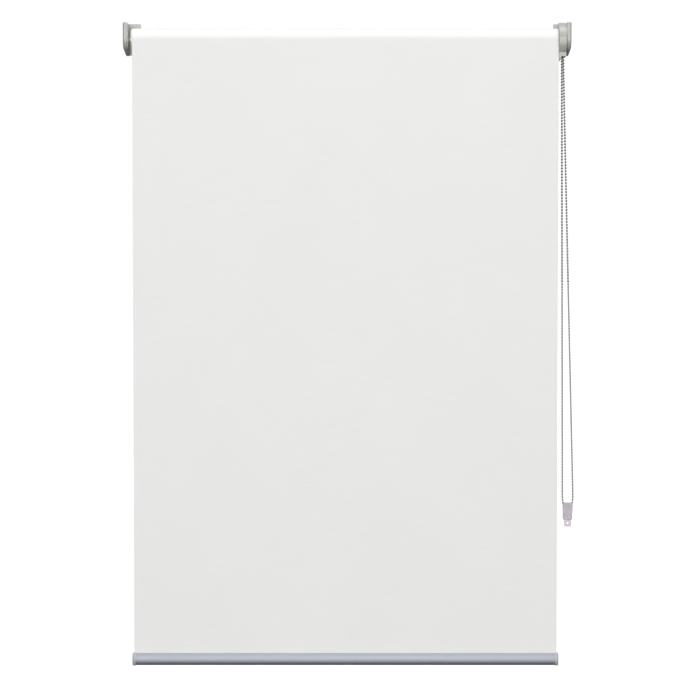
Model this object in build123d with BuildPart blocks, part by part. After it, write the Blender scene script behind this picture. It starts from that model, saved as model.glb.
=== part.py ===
"""Chain-operated roller blind, fully lowered, as an assembly of separate pieces.

Millimetres. +X points to the chain side, +Z up, and the wall is the plane Y = 0, so the blind
hangs on the -Y side. The origin is in the wall plane, midway between the brackets, at the height
of the roller's axis, which is also the centre of the four wall holes.
"""

from build123d import *
from math import cos, pi, radians, sin, tan
import os

# ---- driving dimensions -------------------------------------------------------------------
overall_width = 900.0         # over the two bracket covers
wall_to_axis = 38.0           # wall plane to the roller's axis
drop = 1239.5                 # roller axis to the top of the bottom rail

tube_radius = 21.5            # roller tube, outside
tube_wall = 1.3
channel_width = 7.0           # spline channel rolled into the tube
channel_depth = 5.4
channel_wall = 1.2
channel_mouth = 2.2

fabric_thickness = 0.45
fabric_turns = 2              # turns left on the tube when the blind is down
fabric_left_gap = 8.0         # left bracket plate to the fabric's edge
fabric_guard_gap = 0.5        # fabric's edge to the chain guard

bracket_steel = 2.0
bracket_top = 34.0            # above the roller's axis
bracket_bottom = 30.0         # below the roller's axis, at the wall
bracket_reach = 70.0          # wall to the front of the cover
bracket_nose = 19.0           # below the axis, where the nose's front and bottom lines meet
bracket_top_radius = 8.0
bracket_nose_radius = 24.0
leg_width = 24.0              # wall leg, from the outside of the bracket plate
leg_corner = 3.0
leg_top = 34.6                # the leg's upper and lower edges, from the roller's axis
leg_bottom = 29.1
wall_hole_radius = 2.4
wall_hole_pitch = 30.0
wall_hole_inset = 13.0        # outside of the bracket plate to the hole

cover_depth = 8.0
cover_wall = 1.8
cover_rim = 3.2               # thicker at the side, where the cover rests on the bracket plate
cover_edge_radius = 4.0
clip_width = 10.0
clip_thickness = 1.6
clip_offset = 20.0            # clip to the roller's axis, towards the front and towards the wall

guard_depth = 14.5            # both halves of the chain guard, along X
guard_split = 5.5             # outer half's share of that depth
guard_radius = 34.7
guard_wall = 1.7
guard_half_mouth = 23.5       # half the width of the chain's outlet, outside
guard_outer_drop = 34.0       # axis to the lower edge of the outer half
guard_lip_drop = 43.0         # axis to the lower edge of the inner half's lip
guard_lip_depth = 4.5
guard_edge_radius = 1.5

bead_diameter = 4.5
bead_pitch = 6.0
link_radius = 0.6
wheel_pockets = 20
wheel_width = 7.0

rail_height = 25.0
rail_depth = 13.0
rail_wall = 1.3
rail_overhang = 3.5           # rail's end caps past the fabric's edges
rail_cap_length = 7.0
rail_cap_proud = 1.0

spindle_radius = 9.0
spring_wire = 1.2
pin_radius = 3.0

tensioner_width = 20.5
tensioner_height = 34.0
tensioner_depth = 9.0
tensioner_foot_width = 14.6
tensioner_foot_drop = 15.0
tensioner_top = -936.0

# ---- clearances ---------------------------------------------------------------------------
running_fit = 0.05            # radial, between a shaft and what turns on it
plug_fit = 0.1                # radial, between a plug and the tube or rail that it is pushed into
moving_gap = 0.3              # between pieces that move past each other
clip_clearance = 0.3
chain_clearance = 0.3         # round the beads, in a pocket or a channel

# ---- values worked out from them ------------------------------------------------------------
axis_y = -wall_to_axis
plate_out = overall_width / 2 - cover_depth       # outside of each bracket plate
plate_in = plate_out - bracket_steel
guard_in = plate_in - guard_depth                 # chain guard's face towards the roll
guard_joint = plate_in - guard_split
chain_x = guard_joint                             # plane of the chain wheel
fabric_left = -plate_in + fabric_left_gap
fabric_right = guard_in - fabric_guard_gap
fabric_width = fabric_right - fabric_left
fabric_middle = (fabric_left + fabric_right) / 2
bore_radius = tube_radius - tube_wall
roll_radius = tube_radius + fabric_thickness * fabric_turns + 0.1
tube_right = fabric_right - 1.0
sheet_back = axis_y - roll_radius - moving_gap
sheet_front = sheet_back - fabric_thickness
sheet_middle = (sheet_back + sheet_front) / 2
rail_middle_z = -drop - rail_height / 2
rail_left = fabric_left + rail_cap_length - rail_overhang
rail_right = fabric_right - rail_cap_length + rail_overhang
bead_radius = bead_diameter / 2
wheel_pitch_radius = wheel_pockets * bead_pitch / (2 * pi)
wheel_radius = wheel_pitch_radius + 0.9

os.makedirs("parts", exist_ok=True)


def save(piece, label):
    """Name a finished piece and write its STEP file."""
    piece.part.label = label
    export_step(piece.part, f"parts/{label}.step")


def side_outline(inset=0.0, wall_gap=0.0):
    """Side view of a bracket and its cover, shrunk by inset, in the open sketch."""
    with BuildLine() as outline:
        Polyline(
            (-wall_gap, bracket_top - inset),
            (-bracket_reach + inset, bracket_top - inset),
            (-bracket_reach + inset, -bracket_nose + inset),
            (-wall_gap, -bracket_bottom + inset),
            close=True,
        )
    make_face(outline.edges())
    corners = vertices().group_by(Axis.X)[0].sort_by(Axis.Y)
    fillet(corners[0], bracket_nose_radius - inset)
    fillet(corners[-1], bracket_top_radius - inset)


def clip_places():
    """Where the two cover clips sit in side view: one in front of the axis, one behind it."""
    return Locations((axis_y - clip_offset, bracket_top / 2), (axis_y + clip_offset, bracket_top / 2))


# ---- brackets -------------------------------------------------------------------------------
plate_inset = 2.4             # plate's edge inside the cover's outline, which leaves a shadow gap
tail_radius = 6.0
tail_half_flat = 4.5
bush_radius = 6.0
hole_clearance = 0.2


def bracket(side, label):
    """Bent steel bracket: side is -1 for the left one and 1 for the right one."""
    plate_low = plate_in if side > 0 else -plate_out
    with BuildPart() as steel:
        with BuildSketch(Plane.YZ.offset(plate_low)):
            side_outline(plate_inset, bracket_steel / 2)
            with clip_places():
                Rectangle(
                    clip_width + 2 * clip_clearance, clip_thickness + 2 * clip_clearance, mode=Mode.SUBTRACT
                )
            with Locations((axis_y, 0)):
                if side > 0:
                    with BuildSketch(Plane.XY, mode=Mode.PRIVATE) as tail_hole:
                        Circle(tail_radius + hole_clearance)
                        Rectangle(
                            2 * tail_half_flat + 2 * hole_clearance, 4 * tail_radius, mode=Mode.INTERSECT
                        )
                    add(tail_hole.sketch, mode=Mode.SUBTRACT)
                else:
                    Circle(bush_radius, mode=Mode.SUBTRACT)
        extrude(amount=bracket_steel)
        leg_middle = side * (plate_out - leg_width / 2)
        leg_height = leg_top + leg_bottom
        leg_centre_z = (leg_top - leg_bottom) / 2
        with BuildSketch(Plane.XZ) as leg:
            with Locations((leg_middle, leg_centre_z)):
                Rectangle(leg_width, leg_height)
            free_corners = leg.vertices().group_by(Axis.X)[0 if side > 0 else -1]
            fillet(free_corners, leg_corner)
            with Locations((side * (plate_out - wall_hole_inset), 0)):
                with GridLocations(0, wall_hole_pitch, 1, 2):
                    Circle(wall_hole_radius, mode=Mode.SUBTRACT)
        extrude(amount=bracket_steel)
        upright = steel.edges().filter_by(Axis.Z).filter_by(lambda e: e.length > leg_height / 2)
        bend_inside = upright.sort_by_distance((side * plate_in, -bracket_steel, 0))[0]
        fillet(bend_inside, bracket_steel / 2)
    save(steel, label)


bracket(-1, "left_bracket")
bracket(1, "right_bracket")


# ---- bracket covers -------------------------------------------------------------------------
pocket_depth = cover_depth - cover_wall


def cover(side, label):
    """Moulded cap over a bracket plate, with two snap blades that reach into the plate."""
    outward = 1 if side > 0 else -1
    base = side * plate_out
    with BuildPart() as cap:
        with BuildSketch(Plane.YZ.offset(base)):
            side_outline()
        extrude(amount=outward * cover_depth)
        outer_face = cap.faces().sort_by(Axis.X)[-1 if side > 0 else 0]
        fillet(outer_face.edges(), cover_edge_radius)
        with BuildSketch(Plane.YZ.offset(base)):
            side_outline(cover_rim, cover_rim)
        extrude(amount=outward * pocket_depth, mode=Mode.SUBTRACT)
        with BuildSketch(Plane.YZ.offset(base + outward * pocket_depth)):
            with clip_places():
                Rectangle(clip_width, clip_thickness)
        extrude(amount=-outward * (pocket_depth + bracket_steel - clip_clearance))
        with BuildSketch(Plane.YZ.offset(base + outward * pocket_depth)):
            with clip_places():
                Rectangle(clip_width / 4, clip_thickness * 4)
        extrude(amount=-outward * (pocket_depth - 1.0))
    save(cap, label)


cover(-1, "left_cover")
cover(1, "right_cover")

# ---- idle end: bush, plug, sprung pin ---------------------------------------------------------
idle_flange = 2.6
plug_length = 47.0
plug_wall = 2.5
plug_ribs = 6
rib_thickness = 2.0
hub_radius = 8.0
chamber_radius = 5.3
bearing_length = 9.0
pin_collar_radius = 5.0
pin_collar = 2.0
spring_cap_length = 4.0
pin_tip = -plate_out - 4.0
flange_left = fabric_left - idle_flange
chamber_left = flange_left + bearing_length
plug_right = flange_left + plug_length
cap_left = plug_right - spring_cap_length
collar_left = chamber_left + moving_gap
collar_right = collar_left + pin_collar


def ring(x_low, x_high, r_out, r_in=0.0):
    """A plain ring or disc about the roller's axis, added to the open part."""
    with BuildSketch(Plane.YZ.offset(x_low)) as section:
        with Locations((axis_y, 0)):
            Circle(r_out)
            if r_in:
                Circle(r_in, mode=Mode.SUBTRACT)
    extrude(section.sketch, amount=x_high - x_low)


def bore(x_low, x_high, radius):
    """A round hole along the roller's axis, cut from the open part."""
    with BuildSketch(Plane.YZ.offset(x_low)) as section:
        with Locations((axis_y, 0)):
            Circle(radius)
    extrude(section.sketch, amount=x_high - x_low, mode=Mode.SUBTRACT)


def channel_notch(x_low, x_high):
    """Room for the tube's spline channel in the outside of a plug, cut from the open part."""
    with BuildSketch(Plane.YZ.offset(x_low)) as section:
        with Locations((axis_y, tube_radius)):
            Rectangle(channel_width + 2 * clip_clearance, 2 * (channel_depth + clip_clearance))
    extrude(section.sketch, amount=x_high - x_low, mode=Mode.SUBTRACT)


def ribs(x_low, x_high, count, first_angle, r_low, r_high, thickness):
    """Radial ribs spread evenly round the roller's axis, added to the open part."""
    with BuildSketch(Plane.YZ.offset(x_low)) as section:
        with Locations((axis_y, 0)):
            with PolarLocations((r_low + r_high) / 2, count, start_angle=first_angle):
                Rectangle(r_high - r_low, thickness)
    extrude(section.sketch, amount=x_high - x_low)


with BuildPart() as pin_bush:
    ring(-plate_out, -plate_in, bush_radius, pin_radius + running_fit)
    ring(-plate_in, -plate_in + 1.2, bush_radius + 2.5, pin_radius + running_fit)
save(pin_bush, "pin_bush")

with BuildPart() as idle_plug:
    ring(flange_left, fabric_left, tube_radius - plug_fit)
    ring(fabric_left, plug_right, bore_radius - plug_fit, bore_radius - plug_fit - plug_wall)
    ring(fabric_left, plug_right, hub_radius)
    channel_notch(fabric_left, plug_right)
    channel_floor = tube_radius - channel_depth - clip_clearance
    ring(fabric_left, fabric_left + plug_wall, channel_floor)
    ribs(fabric_left, plug_right, plug_ribs, 30, hub_radius - 1, bore_radius - plug_wall, rib_thickness)
    channel_notch(fabric_left, plug_right)
    bore(flange_left, chamber_left, pin_radius + running_fit)
    bore(chamber_left, plug_right, chamber_radius)
save(idle_plug, "idle_plug")

with BuildPart() as idle_pin:
    ring(pin_tip, plug_right + 1.0, pin_radius)
    tip_edges = idle_pin.edges().filter_by(GeomType.CIRCLE).group_by(Axis.X)
    chamfer(tip_edges[0] + tip_edges[-1], 0.8)
    ring(collar_left, collar_right, pin_collar_radius)
save(idle_pin, "idle_pin")

pin_spring_wire = 0.8
pin_spring_turns = 9
spring_seat_gap = 0.1
spring_low = collar_right + pin_spring_wire / 2 + spring_seat_gap
spring_high = cap_left - pin_spring_wire / 2 - spring_seat_gap
pin_spring_radius = (pin_radius + chamber_radius) / 2 + 0.05
with BuildPart() as pin_spring:
    with BuildLine() as coil:
        Helix(
            (spring_high - spring_low) / pin_spring_turns,
            spring_high - spring_low,
            pin_spring_radius,
            center=(spring_low, axis_y, 0),
            direction=(1, 0, 0),
        )
    with BuildSketch(Plane(coil.line @ 0, z_dir=coil.line % 0)):
        Circle(pin_spring_wire / 2)
    sweep()
save(pin_spring, "pin_spring")

with BuildPart() as spring_cap:
    ring(cap_left, plug_right, chamber_radius, pin_radius + running_fit)
save(spring_cap, "spring_cap")

# ---- roller tube, spline and fabric -----------------------------------------------------------
channel_room = channel_width - 2 * channel_wall
spline_radius = 1.3
spline_end_gap = 6.0
with BuildPart() as roller_tube:
    with BuildSketch(Plane.YZ.offset(fabric_left)):
        with Locations((axis_y, 0)):
            Circle(tube_radius)
            Circle(bore_radius, mode=Mode.SUBTRACT)
        with Locations((axis_y, tube_radius - 0.4)):
            Rectangle(channel_width, channel_depth - 0.4, align=(Align.CENTER, Align.MAX))
        with Locations((axis_y, tube_radius - channel_wall)):
            Rectangle(
                channel_room,
                channel_depth - 2 * channel_wall,
                align=(Align.CENTER, Align.MAX),
                mode=Mode.SUBTRACT,
            )
        with Locations((axis_y, tube_radius + 1)):
            Rectangle(
                channel_mouth, channel_wall + 2, align=(Align.CENTER, Align.MAX), mode=Mode.SUBTRACT
            )
    extrude(amount=tube_right - fabric_left)
save(roller_tube, "roller_tube")

spline_z = tube_radius - channel_depth / 2
with BuildPart() as tube_spline:
    with BuildSketch(Plane.YZ.offset(fabric_left + spline_end_gap)):
        with Locations((axis_y, spline_z)):
            Circle(spline_radius)
    extrude(amount=tube_right - fabric_left - 2 * spline_end_gap)
save(tube_spline, "tube_spline")

with BuildPart() as fabric_roll:
    ring(fabric_left, fabric_right, roll_radius, tube_radius)
save(fabric_roll, "fabric_roll")

hem_depth = 7.5
with BuildPart() as fabric_sheet:
    with BuildSketch(Plane.XZ.offset(-sheet_back)):
        with Locations((fabric_middle, 0)):
            Rectangle(fabric_width, drop + hem_depth, align=(Align.CENTER, Align.MAX))
    extrude(amount=fabric_thickness)
save(fabric_sheet, "fabric_sheet")

# ---- bottom rail --------------------------------------------------------------------------------
hem_bore = 2.8                # radius of the channel that holds the hem
hem_channel = 4.0
hem_mouth = 1.5
hem_z = -drop - 5.0
cap_plug_length = 15.0


def rail_channel(grow=0.0):
    """Solid material round the hem's channel, in the open sketch, in side view."""
    with Locations((sheet_middle, hem_z)):
        Circle(hem_channel + grow)
    with Locations((sheet_middle, -drop - 1.0 + grow)):
        Rectangle(
            hem_mouth + 2 * rail_wall + 2 * grow, -drop - 1.0 - hem_z, align=(Align.CENTER, Align.MAX)
        )


with BuildPart() as bottom_rail:
    with BuildSketch(Plane.YZ.offset(rail_left)):
        with Locations((sheet_middle, rail_middle_z)):
            Ellipse(rail_depth / 2, rail_height / 2)
            Ellipse(rail_depth / 2 - rail_wall, rail_height / 2 - rail_wall, mode=Mode.SUBTRACT)
        rail_channel()
        with Locations((sheet_middle, hem_z)):
            Circle(hem_bore, mode=Mode.SUBTRACT)
            Rectangle(hem_mouth, 4 * hem_bore, align=(Align.CENTER, Align.MIN), mode=Mode.SUBTRACT)
    extrude(amount=rail_right - rail_left)
save(bottom_rail, "bottom_rail")

rod_radius = 1.15
rod_y = sheet_back + 0.1 + rod_radius
with BuildPart() as rail_spline:
    with BuildSketch(Plane.YZ.offset(rail_left)):
        with Locations((rod_y, hem_z)):
            Circle(rod_radius)
    extrude(amount=rail_right - rail_left)
save(rail_spline, "rail_spline")


def rail_cap(side, label):
    """Moulded end cap pushed into the bottom rail, slotted for the fabric's edge."""
    outward = 1 if side > 0 else -1
    seat = rail_right if side > 0 else rail_left
    slot_depth = rail_cap_length - rail_overhang + clip_clearance
    with BuildPart() as cap:
        with BuildSketch(Plane.YZ.offset(seat)):
            with Locations((sheet_middle, rail_middle_z)):
                Ellipse(rail_depth / 2 + rail_cap_proud, rail_height / 2 + rail_cap_proud)
        extrude(amount=outward * rail_cap_length)
        outer_face = cap.faces().sort_by(Axis.X)[-1 if side > 0 else 0]
        fillet(outer_face.edges(), rail_cap_proud + 1.5)
        with BuildSketch(Plane.YZ.offset(seat)):
            with Locations((sheet_middle, hem_z)):
                Rectangle(hem_mouth, 3 * hem_depth, align=(Align.CENTER, Align.MIN))
            with Locations((sheet_middle, hem_z)):
                Circle(hem_bore + clip_clearance)
        extrude(amount=outward * slot_depth, mode=Mode.SUBTRACT)
        with BuildSketch(Plane.YZ.offset(seat)) as plug_face:
            with Locations((sheet_middle, rail_middle_z)):
                Ellipse(
                    rail_depth / 2 - rail_wall - plug_fit, rail_height / 2 - rail_wall - plug_fit
                )
            with BuildSketch(Plane.XY, mode=Mode.PRIVATE) as channel_room_face:
                rail_channel(grow=plug_fit)
            add(channel_room_face.sketch, mode=Mode.SUBTRACT)
        extrude(amount=-outward * cap_plug_length)
    save(cap, label)


rail_cap(-1, "rail_cap_left")
rail_cap(1, "rail_cap_right")

# ---- clutch: spindle, screw, wheel, springs, drum ---------------------------------------------
spindle_flange_radius = 14.0
drum_length = 45.0
drum_left = tube_right - drum_length
spindle_left = drum_left + 2.0
journal_right = plate_in - guard_wall
tail_end = plate_out - 0.4
screw_radius = 2.0
screw_hole_end = plate_in - 18.0
washer_radius = 8.5
washer_thickness = 1.0
screw_head_radius = 4.0
screw_head = 2.4
clip_ring = 1.0
clip_groove = spindle_left + 2.0
spindle_bore = 5.0

with BuildPart() as clutch_spindle:
    ring(spindle_left, journal_right, spindle_radius)
    ring(journal_right, plate_in, spindle_flange_radius)
    with BuildSketch(Plane.YZ.offset(plate_in)):
        with Locations((axis_y, 0)):
            with BuildSketch(Plane.XY, mode=Mode.PRIVATE) as tail:
                Circle(tail_radius)
                Rectangle(2 * tail_half_flat, 4 * tail_radius, mode=Mode.INTERSECT)
            add(tail.sketch)
    extrude(amount=tail_end - plate_in)
    bore(screw_hole_end, tail_end, screw_radius)
    bore(spindle_left, screw_hole_end - 4.0, spindle_bore)
    with BuildSketch(Plane.YZ.offset(clip_groove)):
        with Locations((axis_y, 0)):
            Circle(spindle_radius + 1)
            Circle(spindle_radius - 1, mode=Mode.SUBTRACT)
    extrude(amount=clip_ring + 2 * running_fit, mode=Mode.SUBTRACT)
save(clutch_spindle, "clutch_spindle")

with BuildPart() as screw_washer:
    ring(plate_out, plate_out + washer_thickness, washer_radius, screw_radius + hole_clearance)
save(screw_washer, "screw_washer")

head_start = plate_out + washer_thickness
with BuildPart() as clutch_screw:
    ring(screw_hole_end + 2.0, head_start, screw_radius)
    ring(head_start, head_start + screw_head, screw_head_radius)
    fillet(clutch_screw.edges().filter_by(GeomType.CIRCLE).sort_by(Axis.X)[-1], screw_head / 3)
    with BuildSketch(Plane.YZ.offset(head_start + screw_head)):
        with Locations((axis_y, 0)):
            Rectangle(screw_head_radius, 0.9)
            Rectangle(0.9, screw_head_radius)
    extrude(amount=-screw_head / 2, mode=Mode.SUBTRACT)
save(clutch_screw, "clutch_screw")

with BuildPart() as spindle_ring:
    ring(clip_groove + running_fit, clip_groove + running_fit + clip_ring, 11.5, spindle_radius - 1)
    with BuildSketch(Plane.YZ.offset(clip_groove)):
        with Locations((axis_y, 0)):
            Rectangle(2 * (spindle_radius - 2), 20, align=(Align.CENTER, Align.MAX))
    extrude(amount=2 * clip_ring, mode=Mode.SUBTRACT)
save(spindle_ring, "spindle_ring")

collar_in = spindle_radius + spring_wire + 0.7
collar_out = collar_in + 2.0
collar_reach = 34.0
wheel_low = chain_x - wheel_width / 2
wheel_high = chain_x + wheel_width / 2 - running_fit
pocket_radius = bead_radius + chain_clearance
link_groove = 2 * (link_radius + chain_clearance)
pocket_step = 360 / wheel_pockets
groove_floor = wheel_pitch_radius * cos(radians(pocket_step / 2)) - link_groove / 2

with BuildPart() as chain_wheel:
    ring(wheel_low, wheel_high, wheel_radius)
    ring(wheel_low - collar_reach, wheel_low, collar_out, collar_in)
    with BuildSketch(Plane.YZ.offset(wheel_low - collar_reach)):
        with Locations((axis_y, 0)):
            Rectangle(4 * collar_out, 2 * collar_out, align=(Align.CENTER, Align.MIN))
            Circle(collar_in - 0.5, mode=Mode.SUBTRACT)
    extrude(amount=collar_reach - 1.0, mode=Mode.SUBTRACT)
    bore(wheel_low, wheel_high, spindle_radius + running_fit)
    with BuildSketch(Plane.YZ.offset(chain_x - link_groove / 2)):
        with Locations((axis_y, 0)):
            Circle(wheel_radius + 1)
            Circle(groove_floor, mode=Mode.SUBTRACT)
    extrude(amount=link_groove, mode=Mode.SUBTRACT)
    for pocket in range(wheel_pockets):
        angle = radians(pocket * pocket_step)
        pocket_centre = (
            chain_x,
            axis_y + wheel_pitch_radius * cos(angle),
            wheel_pitch_radius * sin(angle),
        )
        with Locations(pocket_centre):
            Sphere(pocket_radius, mode=Mode.SUBTRACT)
        outward = (0, cos(angle), sin(angle))
        with BuildSketch(Plane(pocket_centre, z_dir=outward)):
            Circle(pocket_radius)
        extrude(amount=2 * bead_radius, mode=Mode.SUBTRACT)
save(chain_wheel, "chain_wheel")

springs = 3
spring_turns = 5
spring_pitch = spring_wire + 0.1
spring_length = spring_turns * spring_pitch
spring_start = wheel_low - collar_reach + 5.0
spring_step = spring_length + 2.5
coil_radius = spindle_radius + running_fit + spring_wire / 2
tang_length = 3.2
tang_radius = 0.5             # a little thinner than the wire that it leaves
with BuildPart() as wrap_springs:
    for spring in range(springs):
        first_x = spring_start + spring * spring_step
        with BuildLine() as wrap:
            Helix(
                spring_pitch,
                spring_length,
                coil_radius,
                center=(first_x, axis_y, 0),
                direction=(1, 0, 0),
            )
        with BuildSketch(Plane(wrap.line @ 0, z_dir=wrap.line % 0)):
            Circle(spring_wire / 2)
        sweep(path=wrap.line)
        tang_inset = spring_wire / 2 / wrap.wire().length
        for end in (tang_inset, 1 - tang_inset):
            tang_foot = wrap.line @ end
            centre = Vector(tang_foot.X, axis_y, 0)
            with BuildSketch(Plane(tang_foot, z_dir=tang_foot - centre)):
                Circle(tang_radius)
            extrude(amount=tang_length)
save(wrap_springs, "wrap_springs")

drum_in = collar_out + 0.5
drum_out = drum_in + 1.8
bearing_wall = 4.0
driver_angle = 135            # the springs' tangs stand at 90
driver_width = 4.0
with BuildPart() as clutch_drum:
    ring(drum_left, tube_right, drum_out, drum_in)
    bearing_low = clip_groove + clip_ring + 2 * moving_gap
    ring(bearing_low, bearing_low + bearing_wall, drum_out)
    ribs(drum_left, tube_right, 8, 22.5, drum_out - 0.5, bore_radius - plug_fit, rib_thickness)
    ring(tube_right, fabric_right, tube_radius - plug_fit, drum_in)
    driver_low = bearing_low + bearing_wall
    ribs(driver_low, tube_right, 1, driver_angle, collar_in, drum_out - 0.5, driver_width)
    channel_notch(drum_left, tube_right)
    bore(bearing_low, bearing_low + bearing_wall, spindle_radius + running_fit)
save(clutch_drum, "clutch_drum")

# ---- chain guard --------------------------------------------------------------------------------
peg_radius = 1.5
peg_circle = 27.5
peg_angles = (30, 90, 150)
drum_opening = collar_out + 1.0


def guard_outline(edge_drop, inset=0.0):
    """Side view of the guard down to edge_drop below the axis, in the open sketch."""
    with Locations((axis_y, 0)):
        Circle(guard_radius - inset)
        Rectangle(2 * (guard_half_mouth - inset), edge_drop, align=(Align.CENTER, Align.MAX))


with BuildPart() as guard_outer:
    with BuildSketch(Plane.YZ.offset(guard_joint)):
        guard_outline(guard_outer_drop)
    extrude(amount=plate_in - guard_joint)
    with BuildSketch(Plane.YZ.offset(guard_joint)):
        guard_outline(guard_outer_drop + 1, guard_wall)
    extrude(amount=plate_in - guard_wall - guard_joint, mode=Mode.SUBTRACT)
    bore(plate_in - guard_wall, plate_in, spindle_flange_radius + running_fit)
    with BuildSketch(Plane.YZ.offset(plate_in - guard_wall)):
        with Locations((axis_y, 0)):
            for angle in peg_angles:
                with Locations((peg_circle * cos(radians(angle)), peg_circle * sin(radians(angle)))):
                    Circle(peg_radius)
    extrude(amount=-(guard_split - guard_wall + 3.0))
save(guard_outer, "guard_outer")

with BuildPart() as guard_inner:
    with BuildSketch(Plane.YZ.offset(guard_in)):
        guard_outline(guard_outer_drop)
    extrude(amount=guard_joint - guard_in)
    with BuildSketch(Plane.YZ.offset(guard_in)) as lip:
        guard_outline(guard_lip_drop)
        fillet(lip.vertices().group_by(Axis.Y)[0], 6.0)
    extrude(amount=guard_lip_depth)
    face_edges = guard_inner.faces().sort_by(Axis.X)[0].outer_wire().edges()
    fillet(face_edges, guard_edge_radius)
    with BuildSketch(Plane.YZ.offset(guard_in + guard_wall)):
        guard_outline(guard_lip_drop + 1, guard_wall)
    extrude(amount=guard_depth, mode=Mode.SUBTRACT)
    with BuildSketch(Plane.YZ.offset(guard_in + guard_wall)):
        with Locations((axis_y, 0)):
            for angle in peg_angles:
                with Locations((peg_circle * cos(radians(angle)), peg_circle * sin(radians(angle)))):
                    Circle(2 * peg_radius)
                    Circle(peg_radius + running_fit, mode=Mode.SUBTRACT)
    extrude(amount=guard_depth - guard_split - guard_wall)
    bore(guard_in, guard_in + guard_wall, drum_opening)
save(guard_inner, "guard_inner")

# ---- bead chain in the guard ----------------------------------------------------------------------
straight_beads = 7
front_y = axis_y - wheel_pitch_radius
rear_y = axis_y + wheel_pitch_radius
bead_places = [(chain_x, front_y, -bead_pitch * n) for n in range(straight_beads, 0, -1)]
for n in range(wheel_pockets // 2 + 1):
    turn = radians(180 - n * pocket_step)
    bead_places.append(
        (chain_x, axis_y + wheel_pitch_radius * cos(turn), wheel_pitch_radius * sin(turn))
    )
bead_places += [(chain_x, rear_y, -bead_pitch * n) for n in range(1, straight_beads + 1)]
with BuildPart() as guard_chain:
    for place in bead_places:
        with Locations(place):
            Sphere(bead_radius)
    for start, end in zip(bead_places, bead_places[1:]):
        run = Vector(end) - Vector(start)
        with BuildSketch(Plane(start, z_dir=run)):
            Circle(link_radius)
        extrude(amount=run.length)
save(guard_chain, "guard_chain")

# ---- hanging chain loop and tensioner ---------------------------------------------------------------
loop_top = -straight_beads * bead_pitch - bead_radius - moving_gap
saddle_radius = 8.0
tensioner_x = 448.0
# route of the loop's centre line: down the front, round the tensioner's saddle, up the rear
chain_route = [
    (chain_x, front_y, loop_top),
    (458.7, -38.0, -930.0),
    (456.0, -38.0, -942.0),
    (456.0, -38.0, -958.0),
    (440.0, -38.0, -958.0),
    (440.0, -38.0, -942.0),
    (437.3, -38.0, -930.0),
    (chain_x, rear_y, loop_top),
]
saddle_corner = saddle_radius - 0.05


def corner_radius(before, corner, after):
    """Largest arc at a corner of the route: 0.45 of the shorter run over the half turn's tangent."""
    run_in = Vector(corner) - Vector(before)
    run_out = Vector(after) - Vector(corner)
    half_turn = radians(run_in.get_angle(run_out)) / 2
    return 0.45 * min(run_in.length, run_out.length) / tan(half_turn)


corner_radii = [
    corner_radius(before, corner, after)
    for before, corner, after in zip(chain_route, chain_route[1:], chain_route[2:])
]
# the saddle itself sets the two arcs at the bottom of the loop
corner_radii[2] = saddle_corner
corner_radii[3] = saddle_corner
print("loop radii", [round(r, 1) for r in corner_radii])

with BuildLine() as chain_line:
    FilletPolyline(*chain_route, radius=corner_radii)

with BuildPart() as bead_chain:
    with BuildSketch(Plane(chain_line.line @ 0, z_dir=chain_line.line % 0)):
        Circle(bead_radius)
    sweep(path=chain_line.line)
save(bead_chain, "bead_chain")
loop_length = chain_line.wire().length
loop_volume = pi * bead_radius**2 * loop_length
print("loop length", round(loop_length, 1), "share", round(bead_chain.part.volume / loop_volume, 4))

tensioner_y = -38.0
foot_top = tensioner_top - tensioner_height
foot_tongue = 6.0
saddle_z = -958.0 + saddle_radius


def tensioner_outline():
    """Front view of the tensioner's upper part, in the open sketch."""
    with BuildLine() as outline:
        half = tensioner_width / 2
        Polyline(
            (tensioner_x - half + 0.8, tensioner_top),
            (tensioner_x + half - 0.8, tensioner_top),
            (tensioner_x + half, tensioner_top - 9.0),
            (tensioner_x + half - 1.4, foot_top + 5.0),
            (tensioner_x + half - 1.4, foot_top),
            (tensioner_x - half + 0.6, foot_top),
            (tensioner_x - half + 0.6, tensioner_top - 9.0),
            close=True,
        )
    make_face(outline.edges())


def chain_channel():
    """The chain's way through the tensioner, cut from the open part."""
    with BuildSketch(Plane(chain_line.line @ 0, z_dir=chain_line.line % 0)) as section:
        Circle(bead_radius + chain_clearance)
    sweep(section.sketch, path=chain_line.line, mode=Mode.SUBTRACT)


tongue_fit = 0.15
foot_thickness = 4.0


def foot_socket():
    """Room for the foot's tongue, cut from the open part."""
    with BuildSketch(Plane.XZ.offset(-tensioner_y - foot_thickness / 2 - tongue_fit)) as section:
        with Locations((tensioner_x, foot_top)):
            Rectangle(
                tensioner_foot_width - 4.0 + 2 * tongue_fit,
                foot_tongue + tongue_fit,
                align=(Align.CENTER, Align.MIN),
            )
    extrude(section.sketch, amount=foot_thickness + 2 * tongue_fit, mode=Mode.SUBTRACT)


with BuildPart() as tensioner_body:
    with BuildSketch(Plane.XZ.offset(-tensioner_y)):
        tensioner_outline()
    extrude(amount=-tensioner_depth / 2)
    chain_channel()
    foot_socket()
save(tensioner_body, "tensioner_body")

with BuildPart() as tensioner_cover:
    with BuildSketch(Plane.XZ.offset(-tensioner_y)):
        tensioner_outline()
    extrude(amount=tensioner_depth / 2)
    front_rim = tensioner_cover.faces().sort_by(Axis.Y)[0].edges()
    fillet(front_rim, 1.2)
    with BuildSketch(Plane.XZ.offset(-tensioner_y + tensioner_depth / 2)):
        with Locations((tensioner_x, saddle_z + 6.0)):
            SlotOverall(12.0, 5.0)
    extrude(amount=-1.0, mode=Mode.SUBTRACT)
    chain_channel()
    foot_socket()
save(tensioner_cover, "tensioner_cover")

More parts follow.
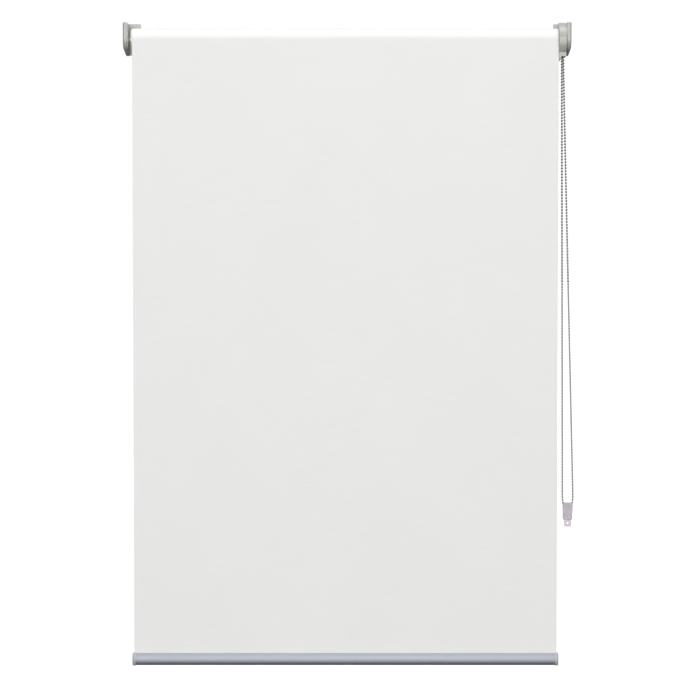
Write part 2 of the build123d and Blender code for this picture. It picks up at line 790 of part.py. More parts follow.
foot_screw_radius = 2.0
with BuildPart() as tensioner_foot:
    with BuildSketch(Plane.XZ.offset(-tensioner_y - foot_thickness / 2)) as foot_face:
        with Locations((tensioner_x, foot_top)):
            Rectangle(
                tensioner_foot_width, tensioner_foot_drop, align=(Align.CENTER, Align.MAX)
            )
        fillet(foot_face.vertices().group_by(Axis.Y)[0], 2.0)
        with Locations((tensioner_x, foot_top)):
            Rectangle(tensioner_foot_width - 4.0, foot_tongue, align=(Align.CENTER, Align.MIN))
        with Locations((tensioner_x, foot_top - tensioner_foot_drop / 2)):
            Circle(foot_screw_radius, mode=Mode.SUBTRACT)
    extrude(amount=foot_thickness)
save(tensioner_foot, "tensioner_foot")
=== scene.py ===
"""Looks of a chain-operated roller blind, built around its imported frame.

Metres. +X points to the chain side, +Z up, and the wall is the plane Y = 0, so the blind hangs on
the -Y side. New pieces are the cloth, the ball chain and the idle pin's spring; every other part
keeps its own shape and gets its finish here.
"""

from math import pi, radians, sin, tau

import bmesh
import bpy
from bpy.props import FloatProperty, FloatVectorProperty, IntProperty, PointerProperty
from mathutils import Matrix, Vector


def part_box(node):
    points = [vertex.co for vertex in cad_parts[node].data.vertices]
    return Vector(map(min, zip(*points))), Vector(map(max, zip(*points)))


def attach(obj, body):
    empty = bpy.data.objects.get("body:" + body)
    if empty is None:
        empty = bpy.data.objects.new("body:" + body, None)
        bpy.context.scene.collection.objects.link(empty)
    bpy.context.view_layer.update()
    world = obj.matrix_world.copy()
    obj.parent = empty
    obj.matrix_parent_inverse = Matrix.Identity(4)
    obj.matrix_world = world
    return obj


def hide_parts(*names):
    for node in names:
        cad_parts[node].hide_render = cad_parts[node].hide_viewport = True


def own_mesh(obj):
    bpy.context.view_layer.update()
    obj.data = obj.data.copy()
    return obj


bl_info = {
    "name": "Roller Blind",
    "version": (1, 0, 0),
    "blender": (4, 5, 0),
    "location": "View3D > Sidebar > Roller Blind",
    "description": "Cloth, ball chain and finishes of a chain-operated roller blind",
    "category": "Object",
}

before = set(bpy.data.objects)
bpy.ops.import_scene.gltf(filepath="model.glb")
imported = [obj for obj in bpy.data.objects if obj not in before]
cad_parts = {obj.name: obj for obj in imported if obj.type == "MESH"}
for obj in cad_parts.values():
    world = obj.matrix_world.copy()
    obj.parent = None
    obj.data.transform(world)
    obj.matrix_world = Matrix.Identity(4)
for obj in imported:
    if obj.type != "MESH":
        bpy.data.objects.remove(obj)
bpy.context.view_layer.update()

MM = 0.001
SHEET_LOW, SHEET_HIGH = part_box("fabric_sheet")
SHEET_THICKNESS = SHEET_HIGH.y - SHEET_LOW.y
SHEET_Y = (SHEET_LOW.y + SHEET_HIGH.y) / 2
TUBE_LOW, TUBE_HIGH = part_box("roller_tube")
TUBE_RADIUS = (TUBE_HIGH.z - TUBE_LOW.z) / 2
AXIS_Y = (TUBE_LOW.y + TUBE_HIGH.y) / 2
RAIL_LOW, RAIL_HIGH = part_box("bottom_rail")
GUARD_BEADS_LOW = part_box("guard_chain")[0]
BEAD_RADIUS = 2.25 * MM


def linear(hex_colour):
    """An sRGB hex colour as the linear RGBA that shaders take."""
    parts = [int(hex_colour[i : i + 2], 16) / 255 for i in (1, 3, 5)]
    return [c / 12.92 if c <= 0.04045 else ((c + 0.055) / 1.055) ** 2.4 for c in parts] + [1.0]


def colour_property(name, description, hex_colour):
    """A colour that a user may change."""
    return FloatVectorProperty(
        name=name,
        description=description,
        subtype="COLOR",
        size=4,
        min=0.0,
        max=1.0,
        default=linear(hex_colour),
    )


# ---- settings --------------------------------------------------------------------------------


class FabricSettings(bpy.types.PropertyGroup):
    """Sizes and colour of the blind's cloth."""

    colour: colour_property("Cloth", "Colour of the coated cloth", "#ECECEB")
    thread: FloatProperty(
        name="Thread spacing",
        description="Distance from one thread of the weave to the next",
        default=0.5 * MM,
        min=0.1 * MM,
        unit="LENGTH",
    )
    slub: FloatProperty(
        name="Slub width",
        description="Width of a thick place in the weft",
        default=3.0 * MM,
        min=0.5 * MM,
        unit="LENGTH",
    )
    edge_curl: FloatProperty(
        name="Edge curl",
        description="How far the cut side edges turn towards the wall",
        default=0.4 * MM,
        min=0.0,
        unit="LENGTH",
    )
    edge_width: FloatProperty(
        name="Edge width",
        description="Width of the strip along each side that curls",
        default=9.0 * MM,
        min=1.0 * MM,
        unit="LENGTH",
    )
    ripple: FloatProperty(
        name="Ripple",
        description="Depth of the cloth's slow waves as it hangs",
        default=0.4 * MM,
        min=0.0,
        unit="LENGTH",
    )


class ChainSettings(bpy.types.PropertyGroup):
    """Sizes of the ball chain."""

    pitch: FloatProperty(
        name="Pitch",
        description="Distance from one ball's centre to the next",
        default=6.0 * MM,
        min=1.0 * MM,
        unit="LENGTH",
    )
    link_radius: FloatProperty(
        name="Link radius",
        description="Radius of the wire between two balls",
        default=0.6 * MM,
        min=0.1 * MM,
        unit="LENGTH",
    )
    sides: IntProperty(
        name="Ball sides",
        description="Faces round one ball",
        default=10,
        min=6,
        max=24,
    )
    colour: colour_property("Nickel", "Colour of the plated balls", "#969692")


class FinishSettings(bpy.types.PropertyGroup):
    """Colours of the moulded, coated and anodised parts."""

    cover: colour_property("Covers and guard", "Colour of the moulded covers", "#B0B2AB")
    bracket: colour_property("Brackets", "Colour of the powder coat", "#C2C3BE")
    rail: colour_property("Bottom rail", "Colour of the anodised rail", "#AEB1B9")
    rail_cap: colour_property("Rail caps", "Colour of the rail's end caps", "#AEB1B6")
    clear: colour_property("Tensioner", "Tint of the clear tensioner", "#DDD5DF")


class StageSettings(bpy.types.PropertyGroup):
    """Floor, light and camera."""

    floor_drop: FloatProperty(
        name="Floor below the rail",
        description="Height of the hanging rail above the floor",
        default=0.45,
        min=0.0,
        unit="LENGTH",
    )
    floor_colour: colour_property("Floor", "Colour of the floor", "#DCDCDA")
    key_power: FloatProperty(
        name="Key light",
        description="Power of the large light above the blind",
        default=50.0,
        min=0.0,
        unit="POWER",
    )
    fill_power: FloatProperty(
        name="Front light",
        description="Power of the large light just below the camera",
        default=200.0,
        min=0.0,
        unit="POWER",
    )
    camera_distance: FloatProperty(
        name="Camera distance",
        description="Camera to the wall plane",
        default=5.4,
        min=0.5,
        unit="LENGTH",
    )
    lens: FloatProperty(
        name="Lens",
        description="Focal length on a 36 mm sensor",
        default=136.2,
        min=10.0,
        unit="CAMERA",
    )


class BlindSettings(bpy.types.PropertyGroup):
    """Everything that a user may change."""

    fabric: PointerProperty(type=FabricSettings)
    chain: PointerProperty(type=ChainSettings)
    finish: PointerProperty(type=FinishSettings)
    stage: PointerProperty(type=StageSettings)


def settings():
    """The blind's settings in the open scene."""
    return bpy.context.scene.roller_blind


# ---- materials -------------------------------------------------------------------------------

# the part of its 0 to 1 range that a noise texture really uses
NOISE_BAND = (0.3, 0.7)
# distance from one band of a wave texture to the next at scale 1
WAVE_PERIOD = pi / 10


def add(tree, kind, values=None, links=None):
    """Adds one node, sets its values (attributes or inputs) and links its inputs to outputs."""
    made = tree.nodes.new(kind)
    for name, value in (values or {}).items():
        if isinstance(name, int) or name in made.inputs:
            made.inputs[name].default_value = value
        else:
            setattr(made, name, value)
    for name, output in (links or {}).items():
        tree.links.new(output, made.inputs[name])
    return made


def shell(name, sockets):
    """A material with one Principled shader whose own sockets hold the given numbers."""
    material = bpy.data.materials.new(name)
    material.use_nodes = True
    tree = material.node_tree
    shader = tree.nodes["Principled BSDF"]
    for socket, value in sockets.items():
        shader.inputs[socket].default_value = value
    return material, tree, shader


def noise(tree, place, size, detail, roughness=0.5, distortion=0.0):
    """A noise texture, read at a place, whose spots have about the given size."""
    made = add(
        tree,
        "ShaderNodeTexNoise",
        {"Scale": 1 / size, "Detail": detail, "Roughness": roughness, "Distortion": distortion},
        {"Vector": place},
    )
    return made.outputs["Fac"]


def stretched(tree, place, share):
    """The place with less of its X, which draws a texture out along X."""
    made = add(tree, "ShaderNodeMapping", {"Scale": (share, 1.0, 1.0)}, {"Vector": place})
    return made.outputs["Vector"]


def ramp(tree, value, source, target):
    """Maps one range of a value onto another, and holds the ends outside it."""
    limits = zip(("From Min", "From Max", "To Min", "To Max"), (*source, *target))
    return add(tree, "ShaderNodeMapRange", dict(limits), {"Value": value}).outputs["Result"]


def product(tree, one, other):
    """The product of two values."""
    made = add(tree, "ShaderNodeMath", {"operation": "MULTIPLY"}, {0: one, 1: other})
    return made.outputs["Value"]


def tinted(tree, colour, tone):
    """A colour made lighter or darker by a tone."""
    made = add(tree, "ShaderNodeVectorMath", {"operation": "SCALE", 0: colour[:3]}, {"Scale": tone})
    return made.outputs["Vector"]


def relief(tree, height, strength, distance, under=None):
    """A bump from a height, on top of another bump where one is given."""
    links = {"Height": height} if under is None else {"Height": height, "Normal": under}
    made = add(tree, "ShaderNodeBump", {"Strength": strength, "Distance": distance}, links)
    return made.outputs["Normal"]


def woven_polyester(fabric):
    """Plain-weave polyester with an opaque acrylic coat: matt, chalky, with a faint sheen at a
    glancing angle and slightly thicker weft threads here and there."""
    material, tree, shader = shell(
        "Woven polyester, acrylic coated",
        {"Roughness": 0.82, "IOR": 1.49, "Sheen Weight": 0.12, "Sheen Roughness": 0.5},
    )
    cloth = add(tree, "ShaderNodeUVMap", {"uv_map": "cloth"}).outputs["UV"]
    warp, weft = (
        add(
            tree,
            "ShaderNodeTexWave",
            {"bands_direction": axis, "Scale": WAVE_PERIOD / fabric.thread, "Distortion": 0.4},
            {"Vector": cloth},
        ).outputs["Fac"]
        for axis in "XY"
    )
    weave = product(tree, warp, weft)
    # a real slub is one thread high; it is drawn several threads high so that it shows
    slubs = noise(tree, stretched(tree, cloth, 0.05), fabric.slub, detail=3.0, roughness=0.6)
    clouds = noise(tree, cloth, 0.2, detail=2.0)
    thread_tone = ramp(tree, slubs, NOISE_BAND, (0.985, 1.006))
    coat_tone = ramp(tree, clouds, NOISE_BAND, (0.992, 1.005))
    tint = tinted(tree, fabric.colour, product(tree, thread_tone, coat_tone))
    tree.links.new(tint, shader.inputs["Base Color"])
    slub_bump = relief(tree, slubs, strength=0.08, distance=0.15 * MM)
    weave_bump = relief(tree, weave, strength=0.35, distance=0.1 * MM, under=slub_bump)
    tree.links.new(weave_bump, shader.inputs["Normal"])
    return material


def grained(name, sockets, colour, grain, depth, tone_size, tone_spread, rough_spread):
    """A moulded or coated skin: a fine grain in relief, and a slow drift in tone and gloss."""
    material, tree, shader = shell(name, sockets)
    place = add(tree, "ShaderNodeTexCoord").outputs["Object"]
    fine = noise(tree, place, grain, detail=3.0, roughness=0.55)
    slow = noise(tree, place, tone_size, detail=2.0)
    tone = ramp(tree, slow, NOISE_BAND, (1 - tone_spread, 1.0))
    base = sockets["Roughness"]
    gloss = ramp(tree, fine, NOISE_BAND, (base - rough_spread, base + rough_spread))
    bump = relief(tree, fine, strength=0.3, distance=depth)
    tree.links.new(tinted(tree, colour, tone), shader.inputs["Base Color"])
    tree.links.new(gloss, shader.inputs["Roughness"])
    tree.links.new(bump, shader.inputs["Normal"])
    return material


def drawn(name, colour, roughness, across, along, depth, rough_spread):
    """A metal drawn through a die along X: fine lines that run the whole length."""
    material, tree, shader = shell(name, {"Metallic": 1.0, "Roughness": roughness})
    place = add(tree, "ShaderNodeTexCoord").outputs["Object"]
    lines = noise(tree, stretched(tree, place, across / along), across, detail=4.0, roughness=0.65)
    tone = ramp(tree, lines, NOISE_BAND, (0.93, 1.03))
    gloss = ramp(tree, lines, NOISE_BAND, (roughness - rough_spread, roughness + rough_spread))
    bump = relief(tree, lines, strength=0.25, distance=depth)
    tree.links.new(tinted(tree, colour, tone), shader.inputs["Base Color"])
    tree.links.new(gloss, shader.inputs["Roughness"])
    tree.links.new(bump, shader.inputs["Normal"])
    return material


def moulded_abs(name, colour, roughness):
    """ABS moulded in a spark-eroded tool: satin, with a fine even grain."""
    return grained(
        name,
        {"Roughness": roughness, "IOR": 1.54, "Specular IOR Level": 0.65},
        colour,
        grain=0.35 * MM,
        depth=0.05 * MM,
        tone_size=40 * MM,
        tone_spread=0.03,
        rough_spread=0.05,
    )


def powder_coat(name, colour):
    """Polyester powder baked on steel sheet: semi-gloss, with the slow waves of orange peel."""
    return grained(
        name,
        {"Roughness": 0.42, "IOR": 1.5},
        colour,
        grain=1.1 * MM,
        depth=0.12 * MM,
        tone_size=30 * MM,
        tone_spread=0.04,
        rough_spread=0.04,
    )


def moulded_nylon(name, hex_colour):
    """Natural nylon or acetal, moulded: milky, waxy, a little light gets under the skin."""
    return grained(
        name,
        {
            "Roughness": 0.45,
            "IOR": 1.53,
            "Subsurface Weight": 0.15,
            "Subsurface Radius": (2 * MM,) * 3,
        },
        linear(hex_colour),
        grain=0.6 * MM,
        depth=0.04 * MM,
        tone_size=15 * MM,
        tone_spread=0.05,
        rough_spread=0.06,
    )


def plated(name, colour, roughness, grain, depth):
    """Steel with a thin bright plating: a clean metal with slight mottling of its gloss."""
    return grained(
        name,
        {"Roughness": roughness, "Metallic": 1.0},
        colour,
        grain=grain,
        depth=depth,
        tone_size=4 * MM,
        tone_spread=0.12,
        rough_spread=0.07,
    )


def clear_polycarbonate(colour):
    """Clear polycarbonate, moulded: a soft gloss, faint flow lines and a violet cast."""
    material, tree, shader = shell(
        "Clear polycarbonate, moulded",
        {"Base Color": colour, "IOR": 1.585, "Transmission Weight": 0.4},
    )
    place = add(tree, "ShaderNodeTexCoord").outputs["Object"]
    flow = noise(tree, place, 5 * MM, detail=2.0, distortion=1.5)
    gloss = ramp(tree, flow, NOISE_BAND, (0.25, 0.45))
    bump = relief(tree, flow, strength=0.3, distance=0.3 * MM)
    tree.links.new(gloss, shader.inputs["Roughness"])
    tree.links.new(bump, shader.inputs["Normal"])
    return material


def finish_nodes(material, *names):
    """Gives whole parts of the frame one finish."""
    for name in names:
        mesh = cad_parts[name].data
        mesh.materials.clear()
        mesh.materials.append(material)


# ---- shared mesh steps -----------------------------------------------------------------------


def new_piece(name, mesh_maker, material):
    """A new object at the origin from a finished bmesh, smooth shaded."""
    mesh = bpy.data.meshes.new(name)
    mesh_maker.to_mesh(mesh)
    mesh_maker.free()
    mesh.materials.append(material)
    mesh.polygons.foreach_set("use_smooth", [True] * len(mesh.polygons))
    piece = bpy.data.objects.new(name, mesh)
    bpy.context.scene.collection.objects.link(piece)
    return piece


def apply_modifier(piece, kind, **values):
    """Adds one modifier, sets it and applies it to the piece's mesh."""
    modifier = piece.modifiers.new(kind.title(), kind)
    for name, value in values.items():
        setattr(modifier, name, value)
    bpy.context.view_layer.objects.active = piece
    bpy.ops.object.modifier_apply(modifier=modifier.name)


def thicken(piece):
    """Gives a cloth its thickness, with crisp cut edges."""
    apply_modifier(piece, "SOLIDIFY", thickness=SHEET_THICKNESS, offset=0.0)
    piece.data.set_sharp_from_angle(angle=radians(35))


def cloth_material():
    """The one cloth material, made on first use."""
    name = "Woven polyester, acrylic coated"
    return bpy.data.materials.get(name) or woven_polyester(settings().fabric)


# ---- operators -------------------------------------------------------------------------------


class HangSheet(bpy.types.Operator):
    """Hangs the cloth from the front of the roll down into the bottom rail"""

    bl_idname = "blind.hang_sheet"
    bl_label = "Hang the sheet"

    def execute(self, context):
        fabric = settings().fabric
        width = SHEET_HIGH.x - SHEET_LOW.x
        length = SHEET_HIGH.z - SHEET_LOW.z
        middle_x = (SHEET_LOW.x + SHEET_HIGH.x) / 2
        rail_top = RAIL_HIGH.z
        # slow waves: their width, how far they lean on the way down, and how many follow each other
        wave_width = 0.43
        wave_lean = 2
        waves_down = 1.3
        maker = bmesh.new()
        maker.loops.layers.uv.new("cloth")
        upright = Matrix.Rotation(pi / 2, 4, "X") @ Matrix.Diagonal((width, length, 1, 1))
        middle = Vector((middle_x, SHEET_Y, (SHEET_LOW.z + SHEET_HIGH.z) / 2))
        bmesh.ops.create_grid(
            maker,
            x_segments=96,
            y_segments=120,
            size=0.5,
            matrix=Matrix.Translation(middle) @ upright,
        )
        cloth = maker.loops.layers.uv["cloth"]
        for face in maker.faces:
            for corner in face.loops:
                corner[cloth].uv = (corner.vert.co.x, corner.vert.co.z)
        for vertex in maker.verts:
            edge = width / 2 - abs(vertex.co.x - middle_x)
            hang = min(1.0, max(0.0, vertex.co.z / rail_top))
            loose = sin(pi * hang) ** 0.5
            curl = fabric.edge_curl * max(0.0, 1 - edge / fabric.edge_width) ** 2
            across = tau * (vertex.co.x - middle_x) / wave_width
            wave = sin(across + wave_lean * hang) * sin(tau * hang * waves_down)
            vertex.co.y += loose * (curl + fabric.ripple * wave)
        bmesh.ops.recalc_face_normals(maker, faces=maker.faces)
        sheet = new_piece("cloth_sheet", maker, cloth_material())
        thicken(sheet)
        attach(sheet, "rail")
        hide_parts("fabric_sheet")
        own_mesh(sheet)
        return {"FINISHED"}


class WindRoll(bpy.types.Operator):
    """Winds the cloth that stays on the tube, layer on layer"""

    bl_idname = "blind.wind_roll"
    bl_label = "Wind the roll"

    def execute(self, context):
        outer = AXIS_Y - SHEET_Y
        inner = TUBE_RADIUS + SHEET_THICKNESS / 2
        layer_gap = 0.05 * MM
        layer_step = SHEET_THICKNESS + layer_gap
        turns = (outer - inner) / layer_step
        turn_steps = 72
        steps = round(turns * turn_steps)
        maker = bmesh.new()
        cloth = maker.loops.layers.uv.new("cloth")
        start = maker.verts.new((SHEET_LOW.x, AXIS_Y - outer, 0))
        end = maker.verts.new((SHEET_HIGH.x, AXIS_Y - outer, 0))
        edge = maker.edges.new((start, end))
        bmesh.ops.subdivide_edges(maker, edges=[edge], cuts=23)
        bmesh.ops.spin(
            maker,
            geom=maker.verts[:] + maker.edges[:],
            cent=(0, AXIS_Y, 0),
            axis=(-1, 0, 0),
            angle=steps * tau / turn_steps,
            steps=steps,
            use_merge=False,
        )
        maker.verts.index_update()
        row = len(maker.verts) // (steps + 1)
        for vertex in maker.verts:
            turned = (vertex.index // row) / turn_steps
            radius = outer - turned * layer_step
            across = Vector((0, vertex.co.y - AXIS_Y, vertex.co.z))
            across *= radius / across.length
            vertex.co = Vector((vertex.co.x, AXIS_Y + across.y, across.z))
        for face in maker.faces:
            for corner in face.loops:
                wound = (corner.vert.index // row) * tau / turn_steps * outer
                corner[cloth].uv = (corner.vert.co.x, wound)
        bmesh.ops.recalc_face_normals(maker, faces=maker.faces)
        roll = new_piece("cloth_roll", maker, cloth_material())
        thicken(roll)
        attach(roll, "roller")
        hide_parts("fabric_roll")
        return {"FINISHED"}


class StringChain(bpy.types.Operator):
    """Strings the ball chain from the guard down round the tensioner and back"""

    bl_idname = "blind.string_chain"
    bl_label = "String the chain"

    # route of the loop's centre line, in millimetres: down the front, round the saddle, up the rear
    route = (
        (434.5, -57.0986, -44.55),
        (434.9, -56.8, -70.0),
        (458.0, -38.5, -903.0),
        (458.7, -38.0, -930.0),
        (456.0, -38.0, -942.0),
        (456.0, -38.0, -958.0),
        (440.0, -38.0, -958.0),
        (440.0, -38.0, -942.0),
        (437.3, -38.0, -930.0),
        (437.2, -37.5, -903.0),
        (434.5, -19.5, -70.0),
        (434.5, -18.9014, -44.55),
    )

    def centre_line(self):
        """Points along the smooth line through the route, in metres."""
        curve = bpy.data.curves.new("chain_route", "CURVE")
        curve.dimensions = "3D"
        spline = curve.splines.new("NURBS")
        spline.points.add(len(self.route) - 1)
        for point, place in zip(spline.points, self.route):
            point.co = (*(Vector(place) * MM), 1)
        spline.order_u = 3
        spline.use_endpoint_u = True
        spline.resolution_u = 24
        holder = bpy.data.objects.new("chain_route", curve)
        bpy.context.scene.collection.objects.link(holder)
        bpy.context.view_layer.update()
        line = bpy.data.meshes.new_from_object(holder)
        points = [vertex.co.copy() for vertex in line.vertices]
        bpy.data.objects.remove(holder)
        bpy.data.curves.remove(curve)
        bpy.data.meshes.remove(line)
        return points

    def execute(self, context):
        chain = settings().chain
        points = self.centre_line()
        runs = [(b - a).length for a, b in zip(points, points[1:])]
        length = sum(runs)

        def at(distance):
            """Place and direction at a distance along the line."""
            for start, end, run in zip(points, points[1:], runs):
                if distance <= run or end is points[-1]:
                    return start.lerp(end, distance / run), (end - start).normalized()
                distance -= run

        last_bead_in_guard = GUARD_BEADS_LOW.z + BEAD_RADIUS
        first = points[0].z - (last_bead_in_guard - chain.pitch)
        count = round((length - 2 * first) / chain.pitch)
        pitch = (length - 2 * first) / count
        stops = [0.0] + [first + n * pitch for n in range(count + 1)] + [length]
        maker = bmesh.new()
        for stop in stops[1:-1]:
            place, along = at(stop)
            turn = along.to_track_quat("Z", "Y").to_matrix().to_4x4()
            bmesh.ops.create_uvsphere(
                maker,
                u_segments=chain.sides,
                v_segments=6,
                radius=BEAD_RADIUS,
                matrix=Matrix.Translation(place) @ turn,
            )
        for low, high in zip(stops, stops[1:]):
            start, end = at(low)[0], at(high)[0]
            turn = (end - start).to_track_quat("Z", "Y").to_matrix().to_4x4()
            bmesh.ops.create_cone(
                maker,
                segments=6,
                radius1=chain.link_radius,
                radius2=chain.link_radius,
                depth=(end - start).length,
                matrix=Matrix.Translation((start + end) / 2) @ turn,
            )
        nickel = bpy.data.materials["Nickel plate on steel"]
        loop = new_piece("ball_chain", maker, nickel)
        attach(loop, "chain_loop")
        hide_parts("bead_chain")
        return {"FINISHED"}


class CoilSpring(bpy.types.Operator):
    """Coils the idle pin's spring, which shortens as the pin is pushed in"""

    bl_idname = "blind.coil_spring"
    bl_label = "Coil the pin's spring"

    def execute(self, context):
        low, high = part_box("pin_spring")
        wire = 0.4 * MM
        coils = 9
        coil_steps = 24
        steps = coils * coil_steps
        length = high.x - low.x - 2 * wire
        maker = bmesh.new()
        across = Matrix.Translation((low.x + wire, AXIS_Y, high.z - wire))
        section = across @ Matrix.Rotation(pi / 2, 4, "X")
        bmesh.ops.create_circle(maker, segments=10, radius=wire, matrix=section)
        bmesh.ops.spin(
            maker,
            geom=maker.verts[:] + maker.edges[:],
            cent=(0, AXIS_Y, 0),
            axis=(1, 0, 0),
            dvec=(length / steps, 0, 0),
            angle=coils * tau,
            steps=steps,
            use_merge=False,
        )
        bmesh.ops.holes_fill(maker, edges=[e for e in maker.edges if e.is_boundary], sides=0)
        bmesh.ops.recalc_face_normals(maker, faces=maker.faces)
        spring = new_piece("coiled_spring", maker, bpy.data.materials["Oiled spring wire"])
        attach(spring, "roller")
        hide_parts("pin_spring")
        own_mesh(spring)
        return {"FINISHED"}


class FinishBrackets(bpy.types.Operator):
    """Finishes the brackets, their covers and the chain guard"""

    bl_idname = "blind.finish_brackets"
    bl_label = "Finish the brackets"

    def execute(self, context):
        finish = settings().finish
        coat = powder_coat("Powder coat on steel", finish.bracket)
        skin = moulded_abs("ABS, spark-eroded grain", finish.cover, roughness=0.3)
        finish_nodes(coat, "left_bracket", "right_bracket")
        finish_nodes(skin, "left_cover", "right_cover", "guard_outer", "guard_inner")
        return {"FINISHED"}


class FinishWorks(bpy.types.Operator):
    """Finishes the tube, the idle end, the clutch and the chain in the guard"""

    bl_idname = "blind.finish_works"
    bl_label = "Finish the works"

    def execute(self, context):
        nickel = plated(
            "Nickel plate on steel",
            settings().chain.colour,
            roughness=0.48,
            grain=0.8 * MM,
            depth=0.02 * MM,
        )
        zinc = plated(
            "Bright zinc plate on steel",
            linear("#B9BCC0"),
            roughness=0.32,
            grain=0.5 * MM,
            depth=0.03 * MM,
        )
        tube = drawn(
            "Mill-finish aluminium extrusion",
            linear("#C9CACC"),
            roughness=0.35,
            across=0.4 * MM,
            along=120 * MM,
            depth=0.03 * MM,
            rough_spread=0.08,
        )
        wire = plated(
            "Oiled spring wire",
            linear("#8C8C8E"),
            roughness=0.3,
            grain=0.3 * MM,
            depth=0.02 * MM,
        )
        nylon = moulded_nylon("Natural nylon, moulded", "#E4E2D6")
        acetal = moulded_nylon("White acetal, moulded", "#DEDEDC")
        vinyl = grained(
            "PVC, extruded",
            {"Roughness": 0.5, "IOR": 1.53},
            linear("#E2E2DD"),
            grain=0.5 * MM,
            depth=0.03 * MM,
            tone_size=25 * MM,
            tone_spread=0.04,
            rough_spread=0.05,
        )
        finish_nodes(nickel, "guard_chain")
        finish_nodes(zinc, "clutch_screw", "screw_washer", "idle_pin")
        finish_nodes(tube, "roller_tube")
        finish_nodes(wire, "wrap_springs", "spindle_ring")
        finish_nodes(nylon, "pin_bush", "clutch_spindle", "idle_plug", "spring_cap", "clutch_drum")
        finish_nodes(acetal, "chain_wheel")
        finish_nodes(vinyl, "tube_spline", "rail_spline")
        return {"FINISHED"}


class FinishRail(bpy.types.Operator):
    """Finishes the bottom rail and its end caps"""

    bl_idname = "blind.finish_rail"
    bl_label = "Finish the rail"

    def execute(self, context):
        finish = settings().finish
        # satin anodising: a soft silver with faint die lines along the rail
        satin = drawn(
            "Satin anodised aluminium",
            finish.rail,
            roughness=0.6,
            across=0.5 * MM,
            along=200 * MM,
            depth=0.03 * MM,
            rough_spread=0.06,
        )
        finish_nodes(satin, "bottom_rail")
        skin = moulded_abs("ABS, silver grey", finish.rail_cap, roughness=0.45)
        finish_nodes(skin, "rail_cap_left", "rail_cap_right")
        return {"FINISHED"}


class FinishTensioner(bpy.types.Operator):
    """Finishes the clear chain tensioner"""

    bl_idname = "blind.finish_tensioner"
    bl_label = "Finish the tensioner"

    def execute(self, context):
        clear = clear_polycarbonate(settings().finish.clear)
        finish_nodes(clear, "tensioner_body", "tensioner_cover", "tensioner_foot")
        return {"FINISHED"}


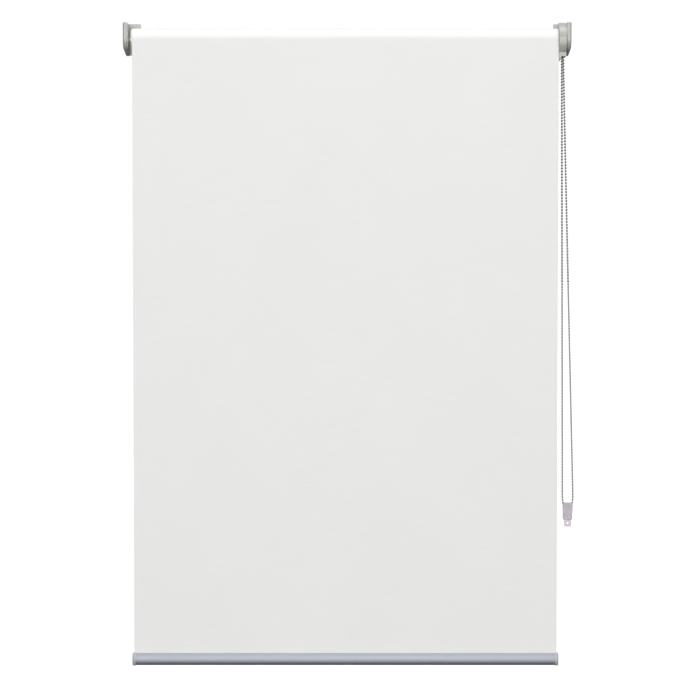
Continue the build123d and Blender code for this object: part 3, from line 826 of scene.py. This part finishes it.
class SetStage(bpy.types.Operator):
    """Sets the floor, the lights, the surroundings and the camera"""

    bl_idname = "blind.set_stage"
    bl_label = "Set the stage"

    def floor(self, stage):
        """A pale floor with a painted glow that grows brighter away from the blind, like a lit
        studio cove.
        """
        maker = bmesh.new()
        height = RAIL_LOW.z - stage.floor_drop
        bmesh.ops.create_circle(
            maker,
            cap_ends=True,
            segments=96,
            radius=60.0,
            matrix=Matrix.Translation((0, 0, height)),
        )
        material, tree, shader = shell("Studio floor paint", {"Roughness": 0.9})
        place = add(tree, "ShaderNodeTexCoord").outputs["Object"]
        flat = add(
            tree,
            "ShaderNodeVectorMath",
            {"operation": "MULTIPLY", 1: (1.0, 1.0, 0.0)},
            {0: place},
        )
        far = add(
            tree,
            "ShaderNodeVectorMath",
            {"operation": "LENGTH"},
            {0: flat.outputs["Vector"]},
        )
        # painted glow: the floor gives off light of its own, from none near the blind to full
        # strength far from it
        glow_starts = 0.7
        glow_full = 1.6
        glow = 0.75
        painted_glow = ramp(tree, far.outputs["Value"], (glow_starts, glow_full), (0.0, glow))
        shader.inputs["Base Color"].default_value = stage.floor_colour
        shader.inputs["Emission Color"].default_value = (1, 1, 1, 1)
        tree.links.new(painted_glow, shader.inputs["Emission Strength"])
        floor = new_piece("floor", maker, material)
        # the undersides stay as dark as on a product table with black cloth below the frame
        floor.visible_diffuse = False
        floor.visible_glossy = False

    def light(self, name, place, target, size, power):
        """A large soft light that faces a point."""
        lamp = bpy.data.lights.new(name, "AREA")
        lamp.shape = "RECTANGLE"
        lamp.size, lamp.size_y = size
        lamp.energy = power
        holder = bpy.data.objects.new(name, lamp)
        holder.location = place
        holder.rotation_euler = (Vector(target) - Vector(place)).to_track_quat("-Z", "Y").to_euler()
        holder.visible_camera = False
        bpy.context.scene.collection.objects.link(holder)

    def surroundings(self):
        """White in front and behind, grey at both sides, dimmer overhead, dark below."""
        world = bpy.data.worlds.new("Studio")
        world.use_nodes = True
        tree = world.node_tree
        direction = add(tree, "ShaderNodeTexCoord").outputs["Generated"]
        parts = add(tree, "ShaderNodeSeparateXYZ", None, {"Vector": direction}).outputs
        height = parts["Z"]
        sideways = add(tree, "ShaderNodeMath", {"operation": "ABSOLUTE"}, {0: parts["X"]})
        # each ramp runs over a part of the unit direction and gives a share of the brightness
        overhead = ramp(tree, height, (0.18, 0.5), (1.05, 0.68))
        below = ramp(tree, height, (-0.3, -0.02), (0.1, 1.0))
        sides = ramp(tree, sideways.outputs["Value"], (0.4, 0.9), (1.0, 0.15))
        shade = product(tree, product(tree, overhead, below), sides)
        background = tree.nodes["Background"]
        tree.links.new(shade, background.inputs["Strength"])
        background.inputs["Color"].default_value = (1, 1, 1, 1)
        bpy.context.scene.world = world

    def camera(self, stage):
        """A long lens, a little above the blind's middle, tipped down slightly."""
        lens = bpy.data.cameras.new("camera")
        lens.lens = stage.lens
        lens.sensor_width = 36.0
        lens.clip_end = 200.0
        holder = bpy.data.objects.new("camera", lens)
        # aimed straight, a little to the chain's side of the blind's middle
        chain_side = 0.0058
        place = Vector((chain_side, -stage.camera_distance, -0.378))
        target = Vector((chain_side, -0.06, -0.6245))
        holder.location = place
        holder.rotation_euler = (target - place).to_track_quat("-Z", "Y").to_euler()
        bpy.context.scene.collection.objects.link(holder)
        bpy.context.scene.camera = holder

    def execute(self, context):
        stage = settings().stage
        self.camera(stage)
        self.floor(stage)
        self.light(
            "key",
            place=(0.0, -0.9, 3.0),
            target=(0.0, -0.05, 0.0),
            size=(3.0, 1.6),
            power=stage.key_power,
        )
        self.light(
            "front",
            place=(0.0, -5.0, -0.9),
            target=(0.0, -0.05, -0.8),
            size=(6.0, 4.5),
            power=stage.fill_power,
        )
        self.surroundings()
        context.scene.view_settings.view_transform = "Standard"
        return {"FINISHED"}


class BlindPanel(bpy.types.Panel):
    """Lists the blind's settings and its steps"""

    bl_idname = "VIEW3D_PT_roller_blind"
    bl_label = "Roller Blind"
    bl_space_type = "VIEW_3D"
    bl_region_type = "UI"
    bl_category = "Roller Blind"

    def draw(self, context):
        blind = context.scene.roller_blind
        for group in (blind.fabric, blind.chain, blind.finish, blind.stage):
            box = self.layout.box()
            for name in group.__annotations__:
                box.prop(group, name)
        for step in STEPS:
            self.layout.operator(step.bl_idname)


# in the order in which they run
STEPS = (
    SetStage,
    FinishWorks,
    StringChain,
    HangSheet,
    WindRoll,
    CoilSpring,
    FinishBrackets,
    FinishRail,
    FinishTensioner,
)
GROUPS = (FabricSettings, ChainSettings, FinishSettings, StageSettings, BlindSettings)
CLASSES = (*GROUPS, *STEPS, BlindPanel)


def register():
    for each in CLASSES:
        bpy.utils.register_class(each)
    bpy.types.Scene.roller_blind = PointerProperty(type=BlindSettings)


def unregister():
    del bpy.types.Scene.roller_blind
    for each in reversed(CLASSES):
        bpy.utils.unregister_class(each)


def main():
    register()
    for step in STEPS:
        group, name = step.bl_idname.split(".")
        getattr(getattr(bpy.ops, group), name)()


if __name__ == "__main__":
    main()
